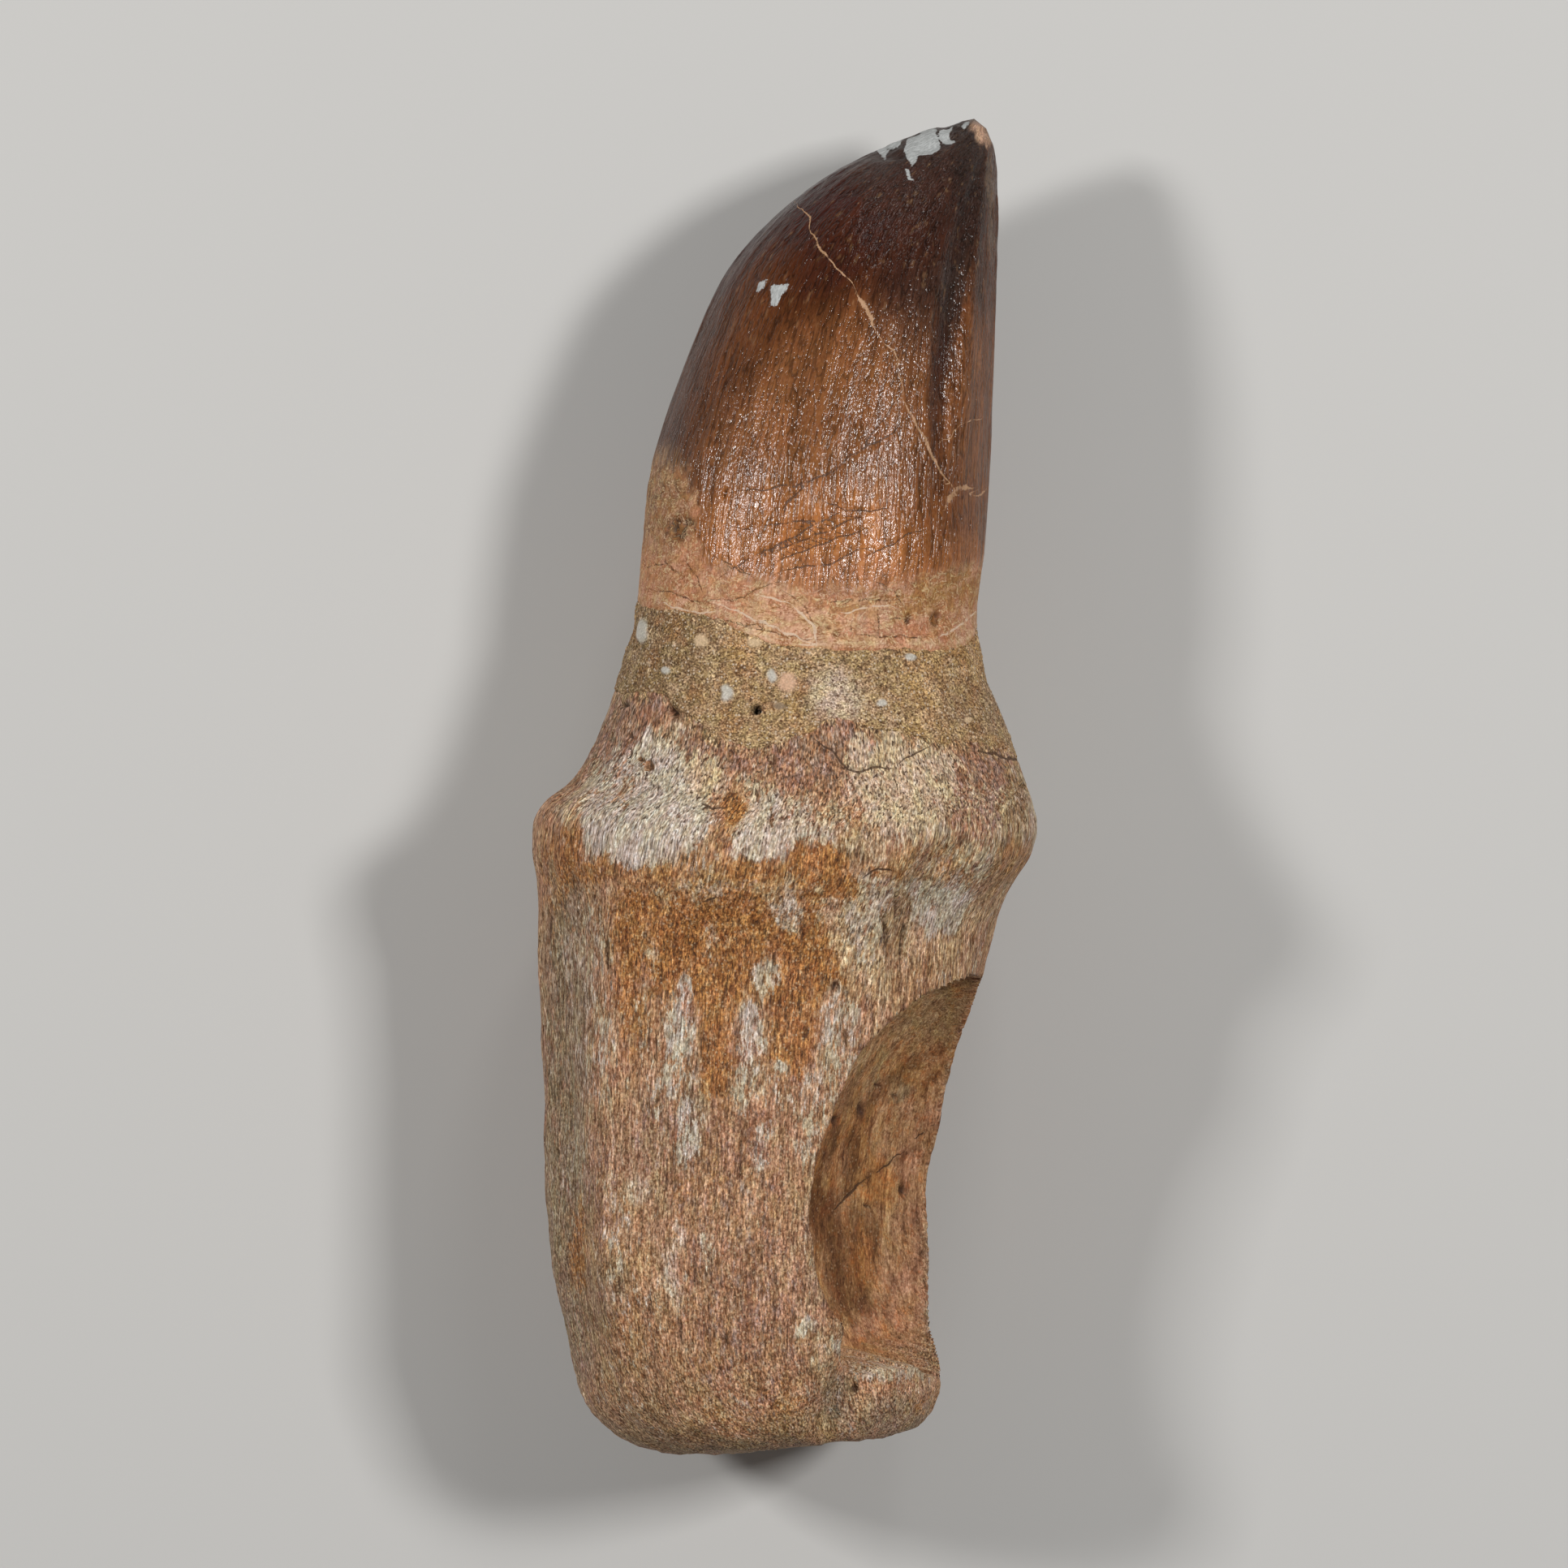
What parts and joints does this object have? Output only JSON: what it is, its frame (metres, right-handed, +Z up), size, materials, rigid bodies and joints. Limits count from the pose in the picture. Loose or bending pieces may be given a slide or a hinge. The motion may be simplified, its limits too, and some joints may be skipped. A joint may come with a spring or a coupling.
{
  "type": "fossil mosasaur tooth",
  "caption": "Rooted fossil mosasaur tooth lying on its side: curved enamelled crown, sandy matrix round the neck, and a swollen bony root with a resorption hollow.",
  "frame": {"origin": "on the resting surface, under the centre of the tooth's box as it lies on its side", "axes": "+Y along the tooth from the root towards the tip of the crown, +Z up through the side that shows, +X towards the side with the hollow"},
  "size_m": [0.0435, 0.1152, 0.0358],
  "materials": {
    "root_bone": "matt fibrous fossil bone",
    "tooth_enamel": "dark glossy fossil enamel, finely wrinkled",
    "sandy_matrix": "rough cemented sand"
  },
  "bodies": {
    "root": {"tooth": "root_bone", "matrix_collar": "sandy_matrix"}
  },
  "joints": []
}
